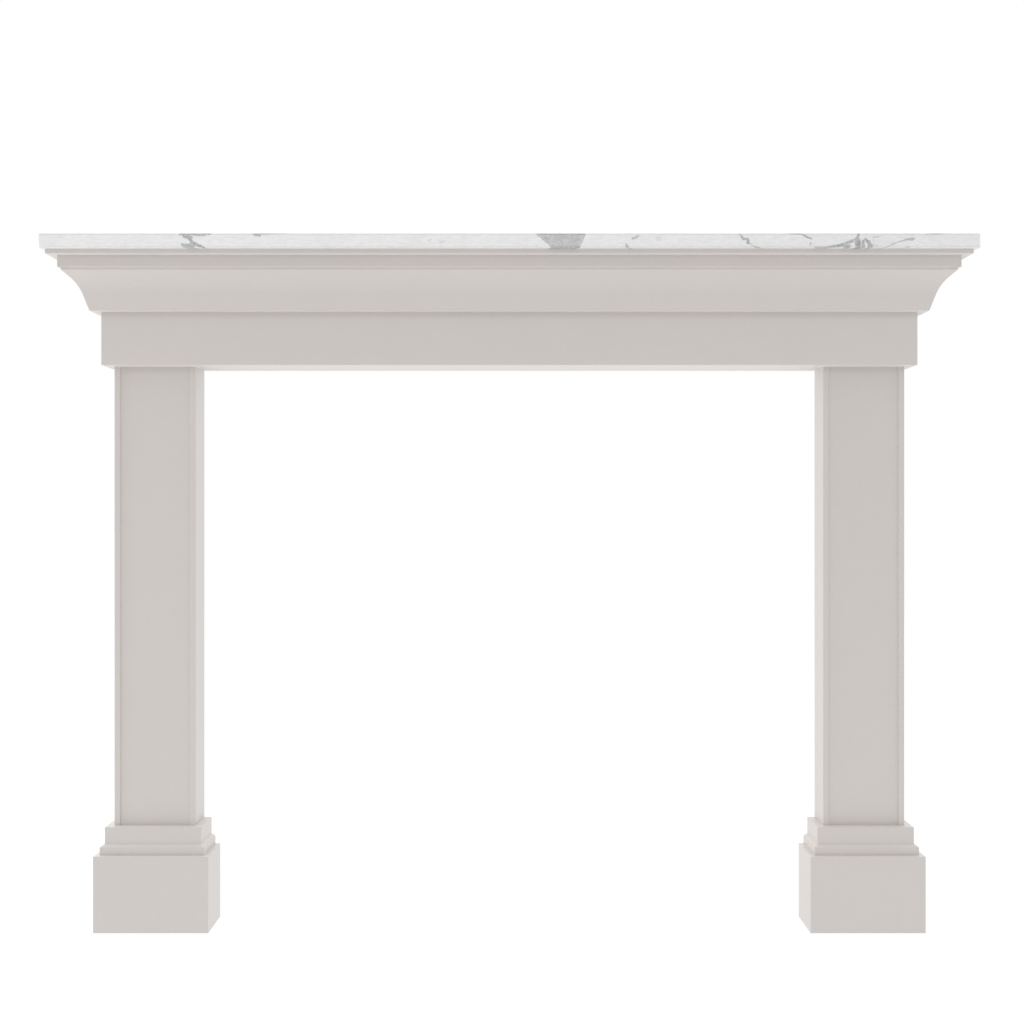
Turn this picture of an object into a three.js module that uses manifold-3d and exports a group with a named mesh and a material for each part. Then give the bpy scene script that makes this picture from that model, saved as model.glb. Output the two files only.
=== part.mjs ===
// Fireplace mantelpiece: a marble shelf on a moulded cornice, a plain frieze
// beam and two panelled legs that stand on moulded plinths.
// Millimetres, +Z up. The front faces -Y, and every piece is flat at the wall.
// The origin is on the floor, at the middle of the whole outline.

import * as THREE from "three";
import { mergeVertices } from "three/addons/utils/BufferGeometryUtils.js";
import Module from "manifold-3d";

const wasm = await Module();
wasm.setup();

// Legs
const legWidth = 164.5;
const legDepth = 75;
const legHeight = 929;
const openingWidth = 1271; // clear, from leg to leg
const edgeStrip = 11; // flat strip down each side of the sunk panel
const panelRecess = 3.5;
const panelBevel = 1;

// Plinths: each course stands out from the one above it, on the front and both sides
const blockStep = 15; // square block beyond the leg
const mouldingStep = 8; // base moulding beyond the square block
const plinthStep = 10; // plinth block beyond the base moulding
const plinthHeight = 153;
const mouldingFace = 16; // upright face of the base moulding
const mouldingSlope = 4.5; // height of its weathered top
const blockHeight = 34;

// Frieze
const friezeLength = 1633;
const friezeDepth = 108;
const friezeHeight = 106;

// Cornice: heights of its courses and how far they stand out beyond the frieze
const coveFootOut = 18;
const coveHeight = 73.5;
const coveFootLean = 18; // degrees from upright
const coveHeadLean = 48;
const coveBendHeight = 50.3; // where the two straight stretches would meet
const coveRadius = 75;
const quirkHeight = 4.5;
const fasciaOut = 65.5;
const fasciaHeight = 23;
const filletOut = 83;
const filletHeight = 8.5;

// Shelf
const shelfOut = 93.5;
const shelfThickness = 28.5;
const shelfArris = 4.5; // radius of the eased edges

// Smoothness of the curves
const coveSegments = 14;
const arrisSegments = 5;

// How far crossing runs of a moulding pass each other before the mitres are cut
const overrun = 20;

// Corners closer together than this are welded into one
const weldDistance = 1e-4;

// Sizes that follow from those above
const overallDepth = friezeDepth + shelfOut;
const legCentre = (openingWidth + legWidth) / 2;
const mouldingTop = mouldingFace + mouldingSlope;
const plinthTop = plinthHeight + mouldingTop + blockHeight;
const friezeBottom = plinthTop + legHeight;
const corniceBottom = friezeBottom + friezeHeight;
const corniceHeight = coveHeight + quirkHeight + fasciaHeight + filletHeight;
const shelfBottom = corniceBottom + corniceHeight;

const stone = new THREE.MeshStandardMaterial({ color: 0xcdc8c4, roughness: 0.85, metalness: 0 });
const marble = new THREE.MeshStandardMaterial({ color: 0xe6e6e5, roughness: 0.35, metalness: 0 });

// Points along a circular arc, both ends included
function arcPoints(centreOut, centreUp, radius, fromAngle, toAngle, segments) {
  const points = [];
  for (let i = 0; i <= segments; i += 1) {
    const angle = fromAngle + ((toAngle - fromAngle) * i) / segments;
    const out = centreOut + radius * Math.cos(angle);
    const up = centreUp + radius * Math.sin(angle);
    points.push(new THREE.Vector2(out, up));
  }
  return points;
}

// An outline in (across, up) pushed through a length, with across, up and length
// laid along the given directions
function extruded(outline, length, across, up, along) {
  const shape = new THREE.Shape(outline);
  const geometry = new THREE.ExtrudeGeometry(shape, { depth: length, bevelEnabled: false });
  geometry.applyMatrix4(new THREE.Matrix4().makeBasis(across, up, along));
  return geometry;
}

const right = new THREE.Vector3(1, 0, 0);
const left = new THREE.Vector3(-1, 0, 0);
const back = new THREE.Vector3(0, 1, 0);
const front = new THREE.Vector3(0, -1, 0);
const upward = new THREE.Vector3(0, 0, 1);

function toSolid(geometry) {
  const bare = geometry.clone();
  bare.deleteAttribute("normal");
  bare.deleteAttribute("uv");
  const merged = mergeVertices(bare, weldDistance);
  return new wasm.Manifold(
    new wasm.Mesh({
      numProp: 3,
      vertProperties: new Float32Array(merged.attributes.position.array),
      triVerts: new Uint32Array(merged.index.array),
    }),
  );
}

function toGeometry(solid) {
  const mesh = solid.getMesh();
  const geometry = new THREE.BufferGeometry();
  geometry.setAttribute("position", new THREE.BufferAttribute(mesh.vertProperties, 3));
  geometry.setIndex(new THREE.BufferAttribute(mesh.triVerts, 1));
  geometry.computeVertexNormals();
  return geometry;
}

// A block whose moulded profile runs along the front and returns along both ends
// to the wall, with mitred corners. The profile lists, from the bottom up, how far
// the moulding stands out from a core of the given width and depth.
function mouldedBlock(profile, coreWidth, coreDepth) {
  const frontEdge = profile.map((point) => new THREE.Vector2(coreDepth + point.x, point.y));
  const rightEdge = profile.map((point) => new THREE.Vector2(coreWidth / 2 + point.x, point.y));
  const leftEdge = rightEdge.map((point) => new THREE.Vector2(-point.x, point.y)).reverse();
  const bottom = profile[0].y;
  const top = profile[profile.length - 1].y;
  const sideOutline = [new THREE.Vector2(0, bottom), ...frontEdge, new THREE.Vector2(0, top)];
  const frontOutline = [...rightEdge, ...leftEdge];

  const most = Math.max(...profile.map((point) => point.x));
  const runLength = coreWidth + 2 * (most + overrun);
  const runDepth = coreDepth + most + 2 * overrun;
  const longRun = extruded(sideOutline, runLength, front, upward, left);
  longRun.translate(runLength / 2, 0, 0);
  const deepRun = extruded(frontOutline, runDepth, right, upward, front);
  deepRun.translate(0, overrun, 0);
  return toGeometry(toSolid(longRun).intersect(toSolid(deepRun)));
}

// Shelf: a slab with its front and end arrises rounded
function shelfGeometry() {
  const inner = shelfOut - shelfArris;
  const quarter = Math.PI / 2;
  const profile = [
    ...arcPoints(inner, shelfArris, shelfArris, -quarter, 0, arrisSegments),
    ...arcPoints(inner, shelfThickness - shelfArris, shelfArris, 0, quarter, arrisSegments),
  ];
  return mouldedBlock(profile, friezeLength, friezeDepth);
}

// Cornice: a cove with a straight foot and head and a round bend between them,
// then a small upright quirk, the fascia and the top fillet
function corniceGeometry() {
  const footLean = THREE.MathUtils.degToRad(coveFootLean);
  const headLean = THREE.MathUtils.degToRad(coveHeadLean);
  const bendOut = coveFootOut + coveBendHeight * Math.tan(footLean);
  const coveHeadOut = bendOut + (coveHeight - coveBendHeight) * Math.tan(headLean);
  const tangent = coveRadius * Math.tan((headLean - footLean) / 2);
  const centreOut = bendOut - tangent * Math.sin(footLean) + coveRadius * Math.cos(footLean);
  const centreUp = coveBendHeight - tangent * Math.cos(footLean) - coveRadius * Math.sin(footLean);
  const bend = arcPoints(
    centreOut, centreUp, coveRadius, Math.PI - footLean, Math.PI - headLean, coveSegments);
  const fasciaBottom = coveHeight + quirkHeight;
  const filletBottom = fasciaBottom + fasciaHeight;
  const profile = [
    new THREE.Vector2(coveFootOut, 0),
    ...bend,
    new THREE.Vector2(coveHeadOut, coveHeight),
    new THREE.Vector2(coveHeadOut, fasciaBottom),
    new THREE.Vector2(fasciaOut, fasciaBottom),
    new THREE.Vector2(fasciaOut, filletBottom),
    new THREE.Vector2(filletOut, filletBottom),
    new THREE.Vector2(filletOut, corniceHeight),
  ];
  return mouldedBlock(profile, friezeLength, friezeDepth);
}

// Frieze: a plain beam
function friezeGeometry() {
  const beam = new THREE.BoxGeometry(friezeLength, friezeDepth, friezeHeight);
  beam.translate(0, -friezeDepth / 2, friezeHeight / 2);
  return beam;
}

// Leg: an upright with a shallow panel sunk into its front from top to bottom
function legGeometry() {
  const half = legWidth / 2;
  const panelEdge = half - edgeStrip;
  const panelFoot = panelEdge - panelBevel;
  const panelFace = panelRecess - legDepth;
  const outline = [
    new THREE.Vector2(-half, 0),
    new THREE.Vector2(-half, -legDepth),
    new THREE.Vector2(-panelEdge, -legDepth),
    new THREE.Vector2(-panelFoot, panelFace),
    new THREE.Vector2(panelFoot, panelFace),
    new THREE.Vector2(panelEdge, -legDepth),
    new THREE.Vector2(half, -legDepth),
    new THREE.Vector2(half, 0),
  ];
  return extruded(outline, legHeight, right, back, upward);
}

// Plinth: plinth block, base moulding with a weathered top, and square block
function plinthGeometry() {
  const blockOut = blockStep;
  const mouldingOut = blockOut + mouldingStep;
  const plinthOut = mouldingOut + plinthStep;
  const profile = [
    new THREE.Vector2(plinthOut, 0),
    new THREE.Vector2(plinthOut, plinthHeight),
    new THREE.Vector2(mouldingOut, plinthHeight),
    new THREE.Vector2(mouldingOut, plinthHeight + mouldingFace),
    new THREE.Vector2(blockOut, plinthHeight + mouldingTop),
    new THREE.Vector2(blockOut, plinthTop),
  ];
  return mouldedBlock(profile, legWidth, legDepth);
}

function piece(name, geometry, material, x, z) {
  const mesh = new THREE.Mesh(geometry, material.clone());
  mesh.name = name;
  mesh.position.set(x, 0, z);
  return mesh;
}

const mantelpiece = new THREE.Group();
mantelpiece.position.y = overallDepth / 2; // puts the wall side at +Y
mantelpiece.add(piece("shelf", shelfGeometry(), marble, 0, shelfBottom));
mantelpiece.add(piece("cornice", corniceGeometry(), stone, 0, corniceBottom));
mantelpiece.add(piece("frieze", friezeGeometry(), stone, 0, friezeBottom));
for (const [side, x] of [["left", -legCentre], ["right", legCentre]]) {
  mantelpiece.add(piece(`${side}_leg`, legGeometry(), stone, x, plinthTop));
  mantelpiece.add(piece(`${side}_plinth`, plinthGeometry(), stone, x, 0));
}

export default mantelpiece;
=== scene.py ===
import math

import bmesh
import bpy
from mathutils import Matrix, Vector


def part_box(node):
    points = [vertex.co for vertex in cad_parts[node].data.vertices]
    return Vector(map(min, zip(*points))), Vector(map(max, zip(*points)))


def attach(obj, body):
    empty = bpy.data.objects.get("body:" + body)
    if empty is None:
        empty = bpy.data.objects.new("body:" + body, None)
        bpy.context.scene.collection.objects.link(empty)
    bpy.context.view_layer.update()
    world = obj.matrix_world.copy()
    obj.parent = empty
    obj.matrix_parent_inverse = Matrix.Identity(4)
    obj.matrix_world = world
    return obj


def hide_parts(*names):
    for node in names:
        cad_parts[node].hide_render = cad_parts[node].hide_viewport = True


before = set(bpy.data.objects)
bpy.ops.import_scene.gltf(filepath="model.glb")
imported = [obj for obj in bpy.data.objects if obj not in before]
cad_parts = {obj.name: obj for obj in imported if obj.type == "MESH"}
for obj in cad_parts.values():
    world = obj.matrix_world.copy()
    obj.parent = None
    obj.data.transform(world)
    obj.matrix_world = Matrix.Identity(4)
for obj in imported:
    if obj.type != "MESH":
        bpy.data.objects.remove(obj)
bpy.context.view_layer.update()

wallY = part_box("frieze")[1].y  # the back of every piece lies in this plane
print("frame loaded:", len(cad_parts), "pieces")


class Wire:  # wraps a shader socket, so that a sum on it adds its Math node
    def __init__(self, socket):
        self.socket = socket

    def node(self, kind, settings=None, inputs=None, output=0):
        tree = self.socket.id_data
        made = tree.nodes.new(kind)
        for name, setting in (settings or {}).items():
            setattr(made, name, setting)
        for name, value in (inputs or {}).items():
            if isinstance(value, Wire):
                tree.links.new(value.socket, made.inputs[name])
            else:
                made.inputs[name].default_value = value
        return Wire(made.outputs[output])

    def maths(self, operation, *values):
        return self.node("ShaderNodeMath", {"operation": operation}, dict(enumerate(values)))

    def __add__(self, other):
        return self.maths("ADD", self, other)

    def __radd__(self, other):
        return self.maths("ADD", other, self)

    def __sub__(self, other):
        return self.maths("SUBTRACT", self, other)

    def __rsub__(self, other):
        return self.maths("SUBTRACT", other, self)

    def __mul__(self, other):
        return self.maths("MULTIPLY", self, other)

    def __rmul__(self, other):
        return self.maths("MULTIPLY", other, self)

    def __abs__(self):
        return self.maths("ABSOLUTE", self)

    def most(self, other):
        return self.maths("MAXIMUM", self, other)

    def rise(self, low, high):  # 0 up to low, 1 from high on, eased in between
        settings = {"interpolation_type": "SMOOTHSTEP"}
        inputs = {"Value": self, "From Min": low, "From Max": high}
        return self.node("ShaderNodeMapRange", settings, inputs)

    def noise(self, size, detail=2.0, roughness=0.5, distortion=0.0):  # size of a patch in metres
        inputs = {"Vector": self, "Scale": 1 / size, "Detail": detail, "Roughness": roughness}
        inputs["Distortion"] = distortion
        return self.node("ShaderNodeTexNoise", {}, inputs)

    def axis(self, index):
        return self.node("ShaderNodeSeparateXYZ", {}, {0: self}, index)

    def vector(self, operation, other, output=0):
        settings = {"operation": operation}
        return self.node("ShaderNodeVectorMath", settings, {0: self, 1: other}, output)

    def scaled(self, amount):
        return self.node("ShaderNodeVectorMath", {"operation": "SCALE"}, {0: self, "Scale": amount})

    def tint(self, first, second):  # first where this is 0, second where it is 1
        return self.node("ShaderNodeMix", {"data_type": "RGBA"}, {0: self, 6: first, 7: second}, 2)

    def feed(self, socket):
        self.socket.id_data.links.new(self.socket, socket)


def newMaterial(name, shift):  # with its shader, the place on the piece, and that place for patterns
    material = bpy.data.materials.new(name)
    material.use_nodes = True
    shader = material.node_tree.nodes["Principled BSDF"]
    coordinates = Wire(material.node_tree.nodes.new("ShaderNodeTexCoord").outputs["Object"])
    place = coordinates.node("ShaderNodeMapping", {}, {"Vector": coordinates, "Location": shift})
    return material, shader, coordinates, place


def surfaceNormal(coordinates):
    return Wire(coordinates.socket.node.outputs["Normal"])


def feedRelief(relief, shader):  # relief in metres
    bump = relief.node("ShaderNodeBump", {}, {"Strength": 1, "Distance": 1, "Height": relief})
    bump.feed(shader.inputs["Normal"])


sawnLook = {
    "begins": 0.0006,  # distance in front of the wall plane
    "full": 0.0002,
    "arcCentre": (0, 0, -1.1),  # the saw's arcs run round a point below the floor
    "arcScale": 55,
    "arcWaver": 1.4,
    "arcShare": 0.55,  # the rest is uneven patches
    "patchSize": 0.05,
    "height": 0.0005,
}


def sawnBack(coordinates, place):  # 1 on the sawn face that goes against the wall, and its marks
    look = sawnLook
    behind = coordinates.axis(1).rise(wallY - look["begins"], wallY - look["full"])
    arcs = coordinates.vector("SUBTRACT", look["arcCentre"])
    settings = {"wave_type": "RINGS", "rings_direction": "Y"}
    inputs = {"Vector": arcs, "Scale": look["arcScale"], "Distortion": look["arcWaver"]}
    inputs.update({"Detail": 2, "Detail Scale": 0.6})
    marks = arcs.node("ShaderNodeTexWave", settings, inputs, 1)
    uneven = place.noise(look["patchSize"], 3)
    return behind, marks * look["arcShare"] + uneven * (1 - look["arcShare"])


stoneLook = {
    "warm": (0.671, 0.6295, 0.603, 1),
    "cool": (0.662, 0.6275, 0.603, 1),
    "tintSize": 0.23,
    "tintContrast": (0.3, 0.7),  # the values of a noise where its patches begin and are full
    "cloudSize": 0.11,
    "cloudDepth": 0.014,  # share of the brightness
    "mottleSize": 0.016,
    "mottleDepth": 0.014,
    "grainSize": 0.0011,
    "grainDepth": 0.045,
    "poreSize": 0.006,
    "poreEdge": (0.05, 0.16),  # from a pore's middle, in pore sizes
    "poreDepth": 0.10,
    "porePatchSize": 0.02,
    "porePatchContrast": (0.55, 0.7),
    "sawnDepth": 0.05,
    "roughness": 0.45,
    "mottleRoughness": 0.12,
    "poreRoughness": 0.10,
    "sawnRoughness": 0.12,
    "bumpHeight": 0.00012,  # metres
    "grainRelief": 0.6,  # shares of that height
    "mottleRelief": 0.8,
    "poreRelief": 1.5,
    "squareOn": (0.75, 0.95),  # how nearly a normal must follow an axis to count as facing it
    "contactLine": 0.0005,  # the contact shade ends over this distance, above the soffit
}


# Painted light: extra brightness on narrow soffits or ledges. It reaches from inner to outer, both
# measured sideways from the middle, and lean moves these bounds outwards with the height above bottom.
def paintedLightAmount(coordinates, paintedLight, bottom):
    turned = (surfaceNormal(coordinates).axis(2) * paintedLight["facing"]).rise(*stoneLook["squareOn"])
    out = abs(coordinates.axis(0)) - (coordinates.axis(2) - bottom) * paintedLight["lean"]
    reach = 1 - out.rise(paintedLight["outer"] - paintedLight["soft"], paintedLight["outer"])
    if "inner" in paintedLight:
        reach = reach * out.rise(paintedLight["inner"] - paintedLight["soft"], paintedLight["inner"])
    return turned * reach * paintedLight["amount"]


def contactShade(coordinates, shade, top):  # how much darker a front is just under a soffit
    height = coordinates.axis(2)
    above = height.rise(top, top + stoneLook["contactLine"])
    below = height.rise(top - shade["reach"], top) * (1 - above)
    forward = (0 - surfaceNormal(coordinates).axis(1)).rise(*stoneLook["squareOn"])
    return forward * below * shade["amount"]


def stoneMaterial(name, shift, tone, paintedLight=None, paintedLightFrom=0.0, shade=None, shadeTop=0.0):
    look = stoneLook
    material, shader, coordinates, place = newMaterial(name, shift)
    clouds = place.noise(look["cloudSize"], 3, 0.55)
    mottle = place.noise(look["mottleSize"], 3, 0.6)
    grain = place.noise(look["grainSize"], 2, 0.6)
    spots = place.node("ShaderNodeTexVoronoi", {}, {"Vector": place, "Scale": 1 / look["poreSize"]})
    porePatches = place.noise(look["porePatchSize"]).rise(*look["porePatchContrast"])
    pores = (1 - spots.rise(*look["poreEdge"])) * porePatches
    behind, marks = sawnBack(coordinates, place)

    brightness = tone * (1 + (clouds - 0.5) * (2 * look["cloudDepth"]))
    brightness = brightness + (mottle - 0.5) * (2 * look["mottleDepth"])
    brightness = brightness + (grain - 0.5) * (2 * look["grainDepth"]) - pores * look["poreDepth"]
    brightness = brightness - behind * (1 + marks) * look["sawnDepth"]
    # painted light: narrow soffits or ledges are made brighter
    if paintedLight:
        brightness = brightness + paintedLightAmount(coordinates, paintedLight, paintedLightFrom)
    if shade:
        brightness = brightness - contactShade(coordinates, shade, shadeTop)
    tints = place.noise(look["tintSize"], 2).rise(*look["tintContrast"])
    tints.tint(look["warm"], look["cool"]).scaled(brightness).feed(shader.inputs["Base Color"])

    rough = look["roughness"] + (mottle - 0.5) * look["mottleRoughness"]
    rough = rough + pores * look["poreRoughness"] + behind * look["sawnRoughness"]
    rough.feed(shader.inputs["Roughness"])

    relief = grain * look["grainRelief"] + mottle * look["mottleRelief"] - pores * look["poreRelief"]
    feedRelief(relief * look["bumpHeight"] + behind * marks * sawnLook["height"], shader)
    return material


marbleLook = {
    "ground": (0.927, 0.927, 0.925, 1),
    "cloud": (0.859, 0.861, 0.864, 1),
    "vein": (0.387, 0.390, 0.392, 1),
    "patternShift": (3.1, 0.4, 0),
    "edgeSize": 0.008,
    "ragged": 0.009,  # how far a vein's edge strays, in metres
    "straySize": 0.12,
    "wander": 1.1,  # how far its line strays for each metre back from the front
    "soft": 0.0018,  # width of a vein's soft edge
    "fleckSize": 0.0045,
    "fleckContrast": (0.44, 0.56),
    "overTop": (0.004, 0.03),  # distances from the front edge where the top's own pattern sets in
    "fadeSize": 0.03,
    "fadeContrast": (0.35, 0.75),
    "fade": 0.65,  # share of the vein lost in its palest patches on top
    "hairSize": 0.14,
    "hairWidth": 0.011,
    "hairTurn": math.radians(38),
    "hairStretch": 3.5,
    "hairPatchSize": 0.3,
    "hairPatchContrast": (0.42, 0.6),
    "hairStrength": 0.5,
    "broadCloud": 0.5,
    "broadCloudSize": 0.14,
    "broadCloudContrast": (0.42, 0.75),
    "fineCloud": 0.15,
    "fineCloudSize": 0.03,
    "fineCloudContrast": (0.4, 0.8),
    "streakSize": 0.0035,
    "streakSqueeze": 0.3,  # along the slab, which draws the streaks out
    "streakDepth": 0.14,
    "leaning": (0.05, 0.35),  # the vertical part of a normal where an arris begins
    "level": (0.85, 0.99),  # and where it has become the flat top
    "arrisShade": 0.10,  # the upper rounded edges are a little darker than the flat faces
    "underShade": 0.15,
    # painted shade: the slab's right end is darker, where the light falls off
    "rightPaintedShade": 0.04,  # the slab is a little greyer towards its right end
    "rightSpan": (-0.1, 0.95),
    "sawnShade": 0.04,
    "sawnMarkShade": 0.05,
    "roughness": 0.34,
    "edgeRoughness": 0.05,
    "veinRoughness": 0.05,
    "sawnRoughness": 0.35,
    "bumpHeight": 0.00003,
}

# Veins that show on the front edge, in millimetres. A stroke goes from one point to another,
# x along the slab and z above its underside, with the half width at each end and a strength.
# run is how far the vein moves along the slab on its way back over the top, for each metre
# of depth, and broken is the share of its strength that its flecks lose.
marbleVeins = {
    "hourglass": dict(run=0.9, broken=0.25, strokes=[
        (-634, 27.0, -577, 27.5, 3.2, 2.4, 0.75),
        (-626, 25.0, -615, 19.0, 6.0, 3.8, 0.80),
        (-611, 26.0, -588, 25.0, 3.0, 3.2, 0.70),
        (-616, 19.0, -612, 9.0, 3.6, 3.4, 0.85),
        (-612, 9.0, -592, 1.5, 4.2, 2.2, 0.85),
        (-628, 4.5, -612, 3.5, 4.4, 4.4, 0.75),
    ]),
    "wedge": dict(run=3.5, broken=0.1, strokes=[
        (-500, 28.0, -440, 28.5, 2.4, 1.4, 0.65),
        (-492, 26.0, -482, 24.5, 3.4, 3.0, 0.70),
    ]),
    "specks": dict(run=1.0, broken=0.1, strokes=[
        (-154, 13.0, -151, 16.0, 2.2, 1.5, 0.22),
        (-132, 11.0, -127, 12.5, 3.4, 2.5, 0.18),
    ]),
    "patch": dict(run=-0.7, broken=0.25, strokes=[
        (122, -37.0, 96, 76.0, 0.0, 81.0, 0.66),
        (60, 26.5, 146, 26.5, 1.6, 1.6, 0.82),
        (84, 1.0, 136, 1.0, 1.8, 1.8, 0.86),
        (66, 18.5, 92, 16.0, 1.2, 1.4, 0.80),
    ]),
    "spots": dict(run=1.0, broken=0.1, strokes=[
        (226, 3.0, 224, 7.5, 4.4, 1.8, 0.60),
        (239, 18.0, 250, 22.5, 2.6, 1.8, 0.60),
        (287, 17.0, 289, 17.0, 4.4, 4.4, 0.18),
    ]),
    "crooked": dict(run=0.9, broken=0.15, strokes=[
        (441, 28.0, 448, 23.5, 1.2, 1.4, 0.40),
        (449, 22.5, 451, 17.5, 1.9, 2.8, 0.80),
        (452, 17.5, 460, 16.5, 2.4, 2.2, 0.80),
        (461, 15.5, 460, 9.5, 1.8, 3.0, 0.85),
        (463, 8.5, 472, 3.0, 1.3, 1.3, 0.50),
        (472, 2.0, 481, 1.0, 1.5, 1.5, 0.60),
    ]),
    "hook": dict(run=-3.5, broken=0.0, strokes=[
        (545, 28.0, 564, 27.0, 1.6, 2.4, 0.65),
        (564, 27.0, 582, 17.0, 2.4, 1.5, 0.75),
        (580, 9.0, 579, 5.5, 2.2, 1.8, 0.40),
    ]),
    "ridge": dict(run=-0.6, broken=0.35, strokes=[
        (591, 1.5, 611, 1.0, 1.2, 1.8, 0.60),
        (611, 1.0, 643, 5.5, 1.8, 3.0, 0.90),
        (643, 5.5, 670, 16.5, 3.2, 2.8, 0.80),
        (670, 17.0, 675, 28.0, 3.6, 1.4, 0.90),
        (648, 4.5, 657, 3.0, 3.6, 3.4, 0.90),
        (671, 15.0, 674, 1.5, 6.0, 6.0, 0.95),
        (682, 13.0, 683, 1.5, 2.6, 3.4, 0.85),
        (686, 16.5, 691, 12.0, 2.6, 3.6, 0.85),
        (692, 10.0, 696, 3.5, 4.2, 5.0, 0.90),
    ]),
    "thread": dict(run=-1.2, broken=0.0, strokes=[
        (702, 20.5, 702, 1.5, 0.9, 0.9, 0.35),
        (702, 20.5, 711, 21.5, 1.2, 1.2, 0.40),
        (706, 4.5, 710, 4.0, 2.2, 2.4, 0.28),
        (726, 0.0, 737, 6.0, 1.2, 1.2, 0.45),
        (737, 6.0, 765, 16.0, 1.2, 1.3, 0.50),
        (765, 16.5, 779, 17.0, 1.8, 3.0, 0.65),
        (768, 2.0, 772, 2.0, 1.8, 1.8, 0.35),
    ]),
    "topLine": dict(run=5.0, broken=0.0, strokes=[
        (802, 28.0, 830, 28.0, 2.0, 2.0, 0.60),
    ]),
}


def strokeMask(flat, stroke):  # the stroke's strength within the half width of its line
    millimetre = 0.001
    x, z, endX, endZ, half, endHalf, strength = stroke
    start = Vector((x, 0, z)) * millimetre
    run = Vector((endX - x, 0, endZ - z)) * millimetre
    fromStart = flat.vector("SUBTRACT", start)
    share = fromStart.vector("DOT_PRODUCT", run / run.length_squared, 1)
    share = share.node("ShaderNodeClamp", {}, {"Value": share})
    nearest = share.node("ShaderNodeVectorMath", {"operation": "SCALE"}, {0: run, "Scale": share})
    distance = fromStart.vector("DISTANCE", nearest, 1)
    width = share * ((endHalf - half) * millimetre) + half * millimetre
    return (width - distance).rise(-marbleLook["soft"] / 2, marbleLook["soft"] / 2) * strength


def strongest(masks):
    result = masks[0]
    for mask in masks[1:]:
        result = result.most(mask)
    return result


def veinMask(coordinates, place, edge, slab):  # the front edge's veins, carried back over the top
    look = marbleLook
    height = coordinates.axis(2) - slab[0].z
    depth = coordinates.axis(1) - slab[0].y
    stray = place.noise(look["straySize"], 5, 0.6) - 0.5
    across = coordinates.axis(0) + stray * depth * look["wander"]
    front = across.node("ShaderNodeCombineXYZ", {}, {"X": across, "Z": height})
    jitter = Wire(edge.socket.node.outputs["Color"]).vector("SUBTRACT", (0.5, 0.5, 0.5))
    front = front.vector("ADD", jitter.vector("MULTIPLY", (look["ragged"], 0, look["ragged"] / 2)))
    flecks = place.noise(look["fleckSize"], 2, 0.6).rise(*look["fleckContrast"])
    veins = []
    for vein in marbleVeins.values():
        carried = depth.node("ShaderNodeCombineXYZ", {}, {"X": depth * vein["run"]})
        flat = front.vector("SUBTRACT", carried)
        mask = strongest([strokeMask(flat, stroke) for stroke in vein["strokes"]])
        veins.append(mask * (1 - flecks * vein["broken"]))
    return strongest(veins)


def hairlines(place):  # thin lines along the contours of a stretched noise
    look = marbleLook
    settings = {"vector_type": "TEXTURE"}
    inputs = {"Vector": place, "Rotation": (0, 0, look["hairTurn"]), "Scale": (look["hairStretch"], 1, 1)}
    stretched = place.node("ShaderNodeMapping", settings, inputs)
    hairs = 1 - abs(stretched.noise(look["hairSize"], 3, 0.5, 0.5) - 0.5).rise(0, look["hairWidth"])
    patches = place.noise(look["hairPatchSize"], 1).rise(*look["hairPatchContrast"])
    return hairs * patches * look["hairStrength"]


def marbleClouds(place):
    look = marbleLook
    broad = place.noise(look["broadCloudSize"], 4, 0.6, 0.5).rise(*look["broadCloudContrast"])
    fine = place.noise(look["fineCloudSize"], 3).rise(*look["fineCloudContrast"])
    return broad * look["broadCloud"] + fine * look["fineCloud"]


def marbleStreaks(place):
    look = marbleLook
    drawn = place.node("ShaderNodeMapping", {}, {"Vector": place, "Scale": (look["streakSqueeze"], 1, 1)})
    return (drawn.noise(look["streakSize"], 3, 0.65) - 0.5) * (2 * look["streakDepth"])


def edgeShade(coordinates):  # the rounded edges and the underside are darker than the flat faces
    look = marbleLook
    upward = surfaceNormal(coordinates).axis(2)
    arris = upward.rise(*look["leaning"]) * (1 - upward.rise(*look["level"]))
    under = (0 - upward).rise(*look["leaning"])
    return arris * look["arrisShade"] + under * look["underShade"]


def marbleMaterial(name, slab):
    look = marbleLook
    material, shader, coordinates, place = newMaterial(name, look["patternShift"])
    edge = place.noise(look["edgeSize"], 3, 0.6)
    over = (coordinates.axis(1) - slab[0].y).rise(*look["overTop"])
    faded = place.noise(look["fadeSize"], 4, 0.6).rise(*look["fadeContrast"]) * over * look["fade"]
    veins = veinMask(coordinates, place, edge, slab) * (1 - faded)
    lines = veins.most(hairlines(place) * over)
    behind, marks = sawnBack(coordinates, place)

    # painted shade towards the right end, for the light falling off
    paintedFalloff = coordinates.axis(0).rise(*look["rightSpan"]) * look["rightPaintedShade"]
    shade = 1 + marbleStreaks(place) - edgeShade(coordinates) - paintedFalloff
    shade = shade - behind * (look["sawnShade"] + marks * look["sawnMarkShade"])
    ground = marbleClouds(place).tint(look["ground"], look["cloud"])
    lines.tint(ground, look["vein"]).scaled(shade).feed(shader.inputs["Base Color"])

    rough = look["roughness"] + (edge - 0.5) * look["edgeRoughness"]
    rough = rough + veins * look["veinRoughness"] + behind * look["sawnRoughness"]
    rough.feed(shader.inputs["Roughness"])
    feedRelief(edge * look["bumpHeight"] + behind * marks * sawnLook["height"], shader)
    return material


meshing = {
    "nearby": 0.0002,  # points closer than this to a plane lie in it
    "arrisAngle": math.radians(25),  # sharper edges than this are eased
    "sharpAngle": math.radians(32),
    "flatAngle": math.radians(0.1),
    "flatWeight": 90,
}


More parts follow.
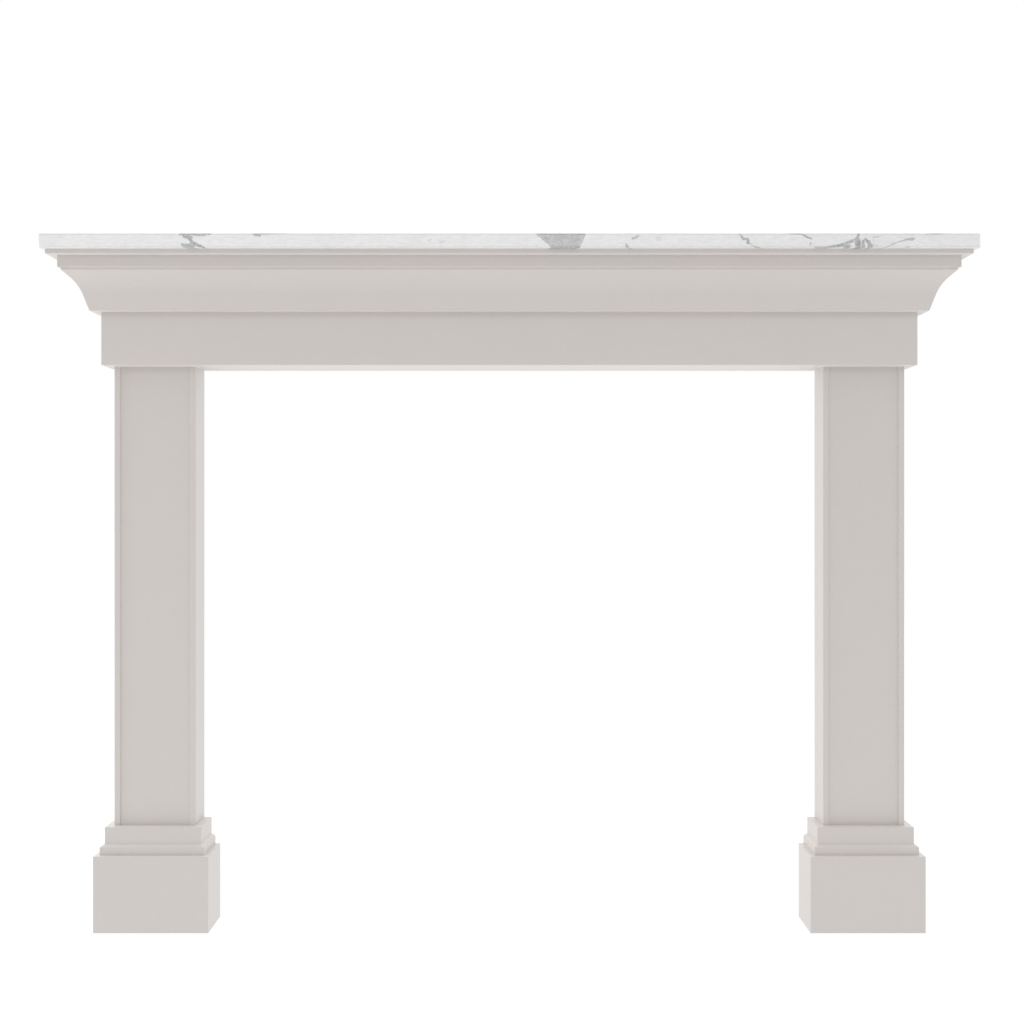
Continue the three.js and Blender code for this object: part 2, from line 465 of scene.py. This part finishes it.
def mouldedBlock(profile, core):  # profile: (out, height) from the bottom up, round a core on the wall
    mesh = bmesh.new()
    halfWidth = (core[1].x - core[0].x) / 2
    middle = (core[1].x + core[0].x) / 2
    depth = wallY - core[0].y
    out, height = profile[0]
    corners = [(-1, 0), (-1, 1), (1, 1), (1, 0)]  # back, front, front, back
    row = [
        mesh.verts.new((middle + side * (halfWidth + out), wallY - near * (depth + out), height))
        for side, near in corners
    ]
    edges = [mesh.edges.new(pair) for pair in zip(row, row[1:])]
    foot = list(row)
    aboutWall = Matrix.Translation((-middle, -wallY, 0))
    for nextOut, nextHeight in profile[1:]:
        raised = bmesh.ops.extrude_edge_only(mesh, edges=edges)["geom"]
        row = [part for part in raised if isinstance(part, bmesh.types.BMVert)]
        raisedEdges = [part for part in raised if isinstance(part, bmesh.types.BMEdge)]
        edges = [edge for edge in raisedEdges if set(edge.verts) <= set(row)]
        wider = (halfWidth + nextOut) / (halfWidth + out)
        deeper = (depth + nextOut) / (depth + out)
        bmesh.ops.scale(mesh, vec=(wider, deeper, 1), space=aboutWall, verts=row)
        bmesh.ops.translate(mesh, vec=(0, 0, nextHeight - height), verts=row)
        out, height = nextOut, nextHeight
    bmesh.ops.contextual_create(mesh, geom=foot)
    bmesh.ops.contextual_create(mesh, geom=row)
    bmesh.ops.holes_fill(mesh, edges=[edge for edge in mesh.edges if edge.is_boundary], sides=0)
    bmesh.ops.recalc_face_normals(mesh, faces=mesh.faces)
    return mesh


def block(low, high):
    mesh = bmesh.new()
    bmesh.ops.create_cube(mesh, size=1)
    bmesh.ops.scale(mesh, vec=high - low, verts=mesh.verts)
    bmesh.ops.translate(mesh, vec=(low + high) / 2, verts=mesh.verts)
    return mesh


def easeArrises(mesh, radius, segments, joints=()):  # joints: heights where the piece meets another
    def within(edge, axis, place):
        return all(abs(corner.co[axis] - place) < meshing["nearby"] for corner in edge.verts)

    def free(edge):
        if not edge.is_convex or edge.calc_face_angle(0) < meshing["arrisAngle"]:
            return False
        return not within(edge, 1, wallY) and not any(within(edge, 2, joint) for joint in joints)

    bmesh.ops.bevel(
        mesh, geom=[edge for edge in mesh.edges if free(edge)], offset=radius, offset_type="OFFSET",
        segments=segments, profile=0.5, affect="EDGES", material=-1, clamp_overlap=True)


def finishPiece(mesh, name, node, material):
    bmesh.ops.dissolve_limit(
        mesh, angle_limit=meshing["flatAngle"], verts=mesh.verts, edges=mesh.edges, delimit={"NORMAL"})
    bmesh.ops.triangulate(
        mesh, faces=[face for face in mesh.faces if len(face.verts) > 4], ngon_method="EAR_CLIP")
    for face in mesh.faces:
        face.smooth = True
    for edge in mesh.edges:
        edge.smooth = edge.calc_face_angle(0) < meshing["sharpAngle"]
    data = bpy.data.meshes.new(name)
    mesh.to_mesh(data)
    mesh.free()
    piece = bpy.data.objects.new(name, data)
    bpy.context.scene.collection.objects.link(piece)
    data.materials.append(material)
    weighted = piece.modifiers.new("EvenShading", "WEIGHTED_NORMAL")
    weighted.keep_sharp = True
    weighted.weight = meshing["flatWeight"]
    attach(piece, "root")
    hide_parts(node)


# Shelf: a marble slab with eased edges
shelfSizes = {
    "arris": 0.0045,
    "arrisSegments": 6,
}
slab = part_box("shelf")
shelfMesh = block(*slab)
easeArrises(shelfMesh, shelfSizes["arris"], shelfSizes["arrisSegments"])
finishPiece(shelfMesh, "marble_shelf", "shelf", marbleMaterial("veined_marble", slab))
print("shelf made")

# Cornice: from the bottom up a cove, a quirk, the fascia and the top fillet
corniceSizes = {
    "coveFootOut": 0.018,  # beyond the frieze
    "coveHeight": 0.0735,
    "coveFootLean": math.radians(18),  # from upright
    "coveHeadLean": math.radians(48),
    "coveBendHeight": 0.0503,  # where the straight foot and head would meet
    "coveBendRadius": 0.075,
    "coveSteps": 24,
    "quirkHeight": 0.0045,
    "fasciaOut": 0.0655,
    "fasciaHeight": 0.023,
    "arris": 0.0008,
    "arrisSegments": 3,
    "patternShift": (0.4, 0.9, 0.2),
    "tone": 0.978,
    # painted light makes the front soffits brighter
    "paintedLight": {"facing": -1, "amount": 0.17, "outer": 0.8165, "lean": 0.65, "soft": 0.01},  # front soffits
    "shade": {"amount": 0.08, "reach": 0.008},  # on the fascia
}


def corniceProfile(sizes, bottom, top, filletOut):
    foot, head = sizes["coveFootLean"], sizes["coveHeadLean"]
    radius = sizes["coveBendRadius"]
    bendOut = sizes["coveFootOut"] + sizes["coveBendHeight"] * math.tan(foot)
    headOut = bendOut + (sizes["coveHeight"] - sizes["coveBendHeight"]) * math.tan(head)
    straight = radius * math.tan((head - foot) / 2)
    centreOut = bendOut - straight * math.sin(foot) + radius * math.cos(foot)
    centreUp = sizes["coveBendHeight"] - straight * math.cos(foot) - radius * math.sin(foot)
    profile = [(sizes["coveFootOut"], bottom)]
    for step in range(sizes["coveSteps"] + 1):
        lean = foot + (head - foot) * step / sizes["coveSteps"]
        profile.append((centreOut - radius * math.cos(lean), bottom + centreUp + radius * math.sin(lean)))
    coveTop = bottom + sizes["coveHeight"]
    fasciaBottom = coveTop + sizes["quirkHeight"]
    filletBottom = fasciaBottom + sizes["fasciaHeight"]
    profile += [
        (headOut, coveTop),
        (headOut, fasciaBottom),
        (sizes["fasciaOut"], fasciaBottom),
        (sizes["fasciaOut"], filletBottom),
        (filletOut, filletBottom),
        (filletOut, top),
    ]
    return profile


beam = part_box("frieze")
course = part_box("cornice")
filletOut = course[1].x - beam[1].x
corniceMesh = mouldedBlock(corniceProfile(corniceSizes, course[0].z, course[1].z, filletOut), beam)
easeArrises(corniceMesh, corniceSizes["arris"], corniceSizes["arrisSegments"], [course[1].z])
fasciaTop = course[0].z + sum(corniceSizes[part] for part in ("coveHeight", "quirkHeight", "fasciaHeight"))
corniceStone = stoneMaterial(
    "cornice_stone", corniceSizes["patternShift"], corniceSizes["tone"], paintedLight=corniceSizes["paintedLight"],
    paintedLightFrom=course[0].z, shade=corniceSizes["shade"], shadeTop=fasciaTop)
finishPiece(corniceMesh, "stone_cornice", "cornice", corniceStone)
print("cornice made")

# Frieze: a plain beam
friezeSizes = {
    "arris": 0.0008,
    "arrisSegments": 3,
    "patternShift": (2.3, 0.1, 0.7),
    "tone": 1.012,
    # painted light makes the soffits over the legs brighter
    "paintedLight": {"facing": -1, "amount": 0.13, "inner": 0.635, "outer": 0.80, "lean": 0, "soft": 0.01},
    "shade": {"amount": 0.12, "reach": 0.016},
}
friezeMesh = block(*beam)
easeArrises(friezeMesh, friezeSizes["arris"], friezeSizes["arrisSegments"], [beam[1].z])
friezeStone = stoneMaterial(
    "frieze_stone", friezeSizes["patternShift"], friezeSizes["tone"], paintedLight=friezeSizes["paintedLight"],
    shade=friezeSizes["shade"], shadeTop=beam[1].z)
finishPiece(friezeMesh, "stone_frieze", "frieze", friezeStone)
print("frieze made")

# Legs: an upright with a shallow panel sunk into its front
legSizes = {
    "edgeStrip": 0.011,
    "panelRecess": 0.0035,
    "panelBevel": 0.001,
    "arris": 0.0008,
    "arrisSegments": 3,
    "patternShift": {"left": (1.1, 0.3, 1.7), "right": (2.1, 0.3, 1.7)},
    # the right leg's lower tone is painted shade, for the light falling off towards the right
    "tone": {"left": 1.0, "right": 0.990},
    "shade": {"amount": 0.12, "reach": 0.018},
}


def legMesh(low, high, sizes):
    mesh = block(low, high)
    middle = (low.x + high.x) / 2
    panelEdge = (high.x - low.x) / 2 - sizes["edgeStrip"]
    panelFoot = panelEdge - sizes["panelBevel"]
    for offset in (-panelEdge, -panelFoot, panelFoot, panelEdge):
        bmesh.ops.bisect_plane(
            mesh, geom=mesh.verts[:] + mesh.edges[:] + mesh.faces[:],
            plane_co=(middle + offset, 0, 0), plane_no=(1, 0, 0))
    halfPanel = panelFoot + sizes["panelBevel"] / 2
    front = [corner for corner in mesh.verts if corner.co.y < low.y + meshing["nearby"]]
    sunk = [corner for corner in front if abs(corner.co.x - middle) < halfPanel]
    bmesh.ops.translate(mesh, vec=(0, sizes["panelRecess"], 0), verts=sunk)
    return mesh


def addLeg(side, upright):
    leg = legMesh(*upright, legSizes)
    easeArrises(leg, legSizes["arris"], legSizes["arrisSegments"], [upright[0].z, upright[1].z])
    stone = stoneMaterial(
        side + "_leg_stone", legSizes["patternShift"][side], legSizes["tone"][side],
        shade=legSizes["shade"], shadeTop=upright[1].z)
    finishPiece(leg, "stone_leg_" + side, side + "_leg", stone)


# Plinths: each course stands out from the one above it
plinthSizes = {
    "plinthHeight": 0.153,
    "mouldingStep": 0.010,  # how far the base moulding sits back from the plinth
    "mouldingFace": 0.016,
    "mouldingSlope": 0.0045,
    "blockStep": 0.008,  # how far the square block sits back from the moulding
    "arris": 0.0009,
    "arrisSegments": 3,
    "patternShift": {"left": (0.2, 1.4, 0.5), "right": (0.2, 2.4, 0.5)},
    # the right plinth's lower tone is painted shade, for the light falling off towards the right
    "tone": {"left": 1.0, "right": 0.988},
    # painted light makes the ledges brighter
    "paintedLight": {"facing": 1, "amount": 0.14, "outer": 1, "lean": 0, "soft": 0.01},  # ledges
}


def plinthProfile(sizes, low, high, foot):
    out = foot - sizes["mouldingStep"]
    mouldingTop = low.z + sizes["plinthHeight"] + sizes["mouldingFace"]
    return [
        (foot, low.z),
        (foot, low.z + sizes["plinthHeight"]),
        (out, low.z + sizes["plinthHeight"]),
        (out, mouldingTop),
        (out - sizes["blockStep"], mouldingTop + sizes["mouldingSlope"]),
        (out - sizes["blockStep"], high.z),
    ]


def addPlinth(side, upright):
    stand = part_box(side + "_plinth")
    plinth = mouldedBlock(plinthProfile(plinthSizes, *stand, stand[1].x - upright[1].x), upright)
    easeArrises(plinth, plinthSizes["arris"], plinthSizes["arrisSegments"], [stand[0].z])
    stone = stoneMaterial(
        side + "_plinth_stone", plinthSizes["patternShift"][side], plinthSizes["tone"][side],
        paintedLight=plinthSizes["paintedLight"])
    finishPiece(plinth, "stone_plinth_" + side, side + "_plinth", stone)


for side in ("left", "right"):
    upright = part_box(side + "_leg")
    addLeg(side, upright)
    addPlinth(side, upright)
    print(side, "leg and plinth made")

# Floor, light and camera
studio = {
    "floorHalf": 8.0,
    "floorColour": (0.10, 0.10, 0.10, 1),
    "floorGlow": 0.944,
    "white": (1, 1, 1, 1),
    "allRound": 0.525,
    "fromWall": 0.485,
    "fromAbove": 0.543,
    "lampOut": {"left": -3.0, "right": 3.0},  # one lamp on each side
    "lampHeight": 0.9,
    "lampAim": (0, 0, 0.8),
    "lampSize": 1.2,
    "lampPower": {"left": 23.5, "right": 7.9},
    "cameraPlace": (0.0053, -2.60725, 0.8425),
    "lens": 45.703,
    "sensor": 36,
}


def addFloor():  # a plain white floor, which also lights the soffits
    grid = bmesh.new()
    bmesh.ops.create_grid(grid, x_segments=1, y_segments=1, size=studio["floorHalf"])
    data = bpy.data.meshes.new("floor")
    grid.to_mesh(data)
    grid.free()
    floor = bpy.data.objects.new("floor", data)
    bpy.context.scene.collection.objects.link(floor)
    material = bpy.data.materials.new("pale_floor")
    material.use_nodes = True
    shader = material.node_tree.nodes["Principled BSDF"]
    shader.inputs["Base Color"].default_value = studio["floorColour"]
    shader.inputs["Roughness"].default_value = 1
    shader.inputs["Specular IOR Level"].default_value = 0
    shader.inputs["Emission Color"].default_value = studio["white"]
    shader.inputs["Emission Strength"].default_value = studio["floorGlow"]
    data.materials.append(material)


def addWorld():  # seen as white, and brighter from above and from the wall's side
    world = bpy.data.worlds.new("soft_studio")
    bpy.context.scene.world = world
    world.use_nodes = True
    backdrop = world.node_tree.nodes["Background"]
    direction = Wire(world.node_tree.nodes.new("ShaderNodeTexCoord").outputs["Generated"])
    seen = Wire(world.node_tree.nodes.new("ShaderNodeLightPath").outputs["Is Camera Ray"])
    wallward = direction.axis(1).most(0)
    skyward = direction.axis(2).most(0)
    glow = wallward * studio["fromWall"] + skyward * studio["fromAbove"] + studio["allRound"]
    (seen + (1 - seen) * glow).feed(backdrop.inputs["Strength"])
    backdrop.inputs["Color"].default_value = studio["white"]


def addLamp(side):
    data = bpy.data.lights.new(side + "_lamp", "AREA")
    data.size = studio["lampSize"]
    data.energy = studio["lampPower"][side]
    lamp = bpy.data.objects.new(side + "_lamp", data)
    lamp.location = (studio["lampOut"][side], 0, studio["lampHeight"])
    aim = Vector(studio["lampAim"]) - lamp.location
    lamp.rotation_euler = aim.to_track_quat("-Z", "Y").to_euler()
    lamp.visible_camera = False
    bpy.context.scene.collection.objects.link(lamp)


def addCamera():
    data = bpy.data.cameras.new("camera")
    data.sensor_width = studio["sensor"]
    data.lens = studio["lens"]
    camera = bpy.data.objects.new("camera", data)
    camera.location = studio["cameraPlace"]
    camera.rotation_euler = (math.pi / 2, 0, 0)  # level, towards the wall
    bpy.context.scene.collection.objects.link(camera)
    bpy.context.scene.camera = camera


addFloor()
addWorld()
addLamp("left")
addLamp("right")
addCamera()
bpy.context.scene.view_settings.view_transform = "Standard"
print("floor, light and camera made")
